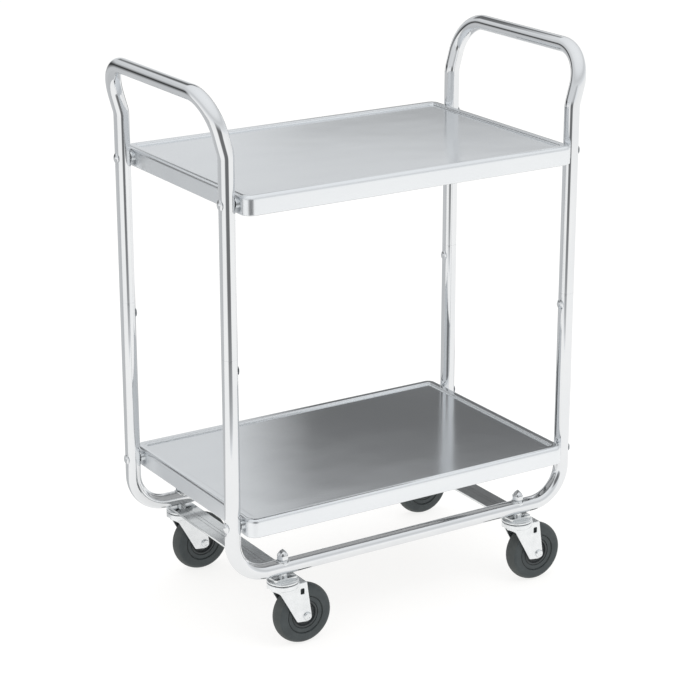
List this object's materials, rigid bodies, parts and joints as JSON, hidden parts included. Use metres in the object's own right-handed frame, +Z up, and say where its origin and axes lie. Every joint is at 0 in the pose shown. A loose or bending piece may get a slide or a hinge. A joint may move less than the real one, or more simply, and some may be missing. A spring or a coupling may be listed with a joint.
{
  "type": "tubular utility cart",
  "caption": "Tubular service cart: tray shelves in a chrome tube frame with raised end handles, on swivel casters with rubber wheels.",
  "frame": {"origin": "on the floor under the middle of the cart", "axes": "+X along the shelves' long side to the right-hand handle, -Y towards the front, +Z up"},
  "size_m": [0.7146, 0.402, 0.9217],
  "materials": {
    "chrome_plate": "bright chrome plate on steel tube and nuts",
    "stainless_sheet": "fine lengthwise brushed stainless sheet",
    "zinc_plate": "bright zinc plate on pressed steel",
    "bearing_steel": "polished ball steel",
    "hub_core": "matt dark moulded core",
    "rubber_tyre": "matt dark grey rubber"
  },
  "bodies": {
    "root": {"left_handle_bow": "chrome_plate", "right_handle_bow": "chrome_plate", "front_base_frame": "chrome_plate", "back_base_frame": "chrome_plate", "upper_shelf": "stainless_sheet", "lower_shelf": "stainless_sheet", "left_cross_bar": "zinc_plate", "right_cross_bar": "zinc_plate", "shelf_bolts": "chrome_plate", "shelf_spacers": "zinc_plate", "shelf_nuts": "zinc_plate", "splice_sleeves": "zinc_plate", "splice_bolts": "chrome_plate", "stem_collars": "zinc_plate", "saddle_washers": "zinc_plate", "cap_nuts": "chrome_plate", "front_left_stem": "zinc_plate", "front_left_top_race": "zinc_plate", "front_right_stem": "zinc_plate", "front_right_top_race": "zinc_plate", "back_left_stem": "zinc_plate", "back_left_top_race": "zinc_plate", "back_right_stem": "zinc_plate", "back_right_top_race": "zinc_plate"},
    "front_left_fork_body": {"front_left_fork": "zinc_plate", "front_left_balls": "bearing_steel", "front_left_axle_bolt": "zinc_plate", "front_left_axle_nut": "zinc_plate", "front_left_axle_bush": "zinc_plate"},
    "front_left_wheel_body": {"front_left_hub": "hub_core", "front_left_tyre": "rubber_tyre"},
    "front_right_fork_body": {"front_right_fork": "zinc_plate", "front_right_balls": "bearing_steel", "front_right_axle_bolt": "zinc_plate", "front_right_axle_nut": "zinc_plate", "front_right_axle_bush": "zinc_plate"},
    "front_right_wheel_body": {"front_right_hub": "hub_core", "front_right_tyre": "rubber_tyre"},
    "back_left_fork_body": {"back_left_fork": "zinc_plate", "back_left_balls": "bearing_steel", "back_left_axle_bolt": "zinc_plate", "back_left_axle_nut": "zinc_plate", "back_left_axle_bush": "zinc_plate"},
    "back_left_wheel_body": {"back_left_hub": "hub_core", "back_left_tyre": "rubber_tyre"},
    "back_right_fork_body": {"back_right_fork": "zinc_plate", "back_right_balls": "bearing_steel", "back_right_axle_bolt": "zinc_plate", "back_right_axle_nut": "zinc_plate", "back_right_axle_bush": "zinc_plate"},
    "back_right_wheel_body": {"back_right_hub": "hub_core", "back_right_tyre": "rubber_tyre"}
  },
  "joints": [
    {"name": "front_left_swivel", "type": "hinge", "parent": "root", "child": "front_left_fork_body", "pos_m": [-0.231, -0.171, 0.1094], "axis": [0, 0, 1], "continuous": true},
    {"name": "front_left_roll", "type": "hinge", "parent": "front_left_fork_body", "child": "front_left_wheel_body", "pos_m": [-0.197, -0.171, 0.0508], "axis": [0, 1, 0], "continuous": true},
    {"name": "front_right_swivel", "type": "hinge", "parent": "root", "child": "front_right_fork_body", "pos_m": [0.231, -0.171, 0.1094], "axis": [0, 0, 1], "continuous": true},
    {"name": "front_right_roll", "type": "hinge", "parent": "front_right_fork_body", "child": "front_right_wheel_body", "pos_m": [0.265, -0.171, 0.0508], "axis": [0, 1, 0], "continuous": true},
    {"name": "back_left_swivel", "type": "hinge", "parent": "root", "child": "back_left_fork_body", "pos_m": [-0.231, 0.171, 0.1094], "axis": [0, 0, 1], "continuous": true},
    {"name": "back_left_roll", "type": "hinge", "parent": "back_left_fork_body", "child": "back_left_wheel_body", "pos_m": [-0.197, 0.171, 0.0508], "axis": [0, 1, 0], "continuous": true},
    {"name": "back_right_swivel", "type": "hinge", "parent": "root", "child": "back_right_fork_body", "pos_m": [0.231, 0.171, 0.1094], "axis": [0, 0, 1], "continuous": true},
    {"name": "back_right_roll", "type": "hinge", "parent": "back_right_fork_body", "child": "back_right_wheel_body", "pos_m": [0.265, 0.171, 0.0508], "axis": [0, 1, 0], "continuous": true}
  ]
}
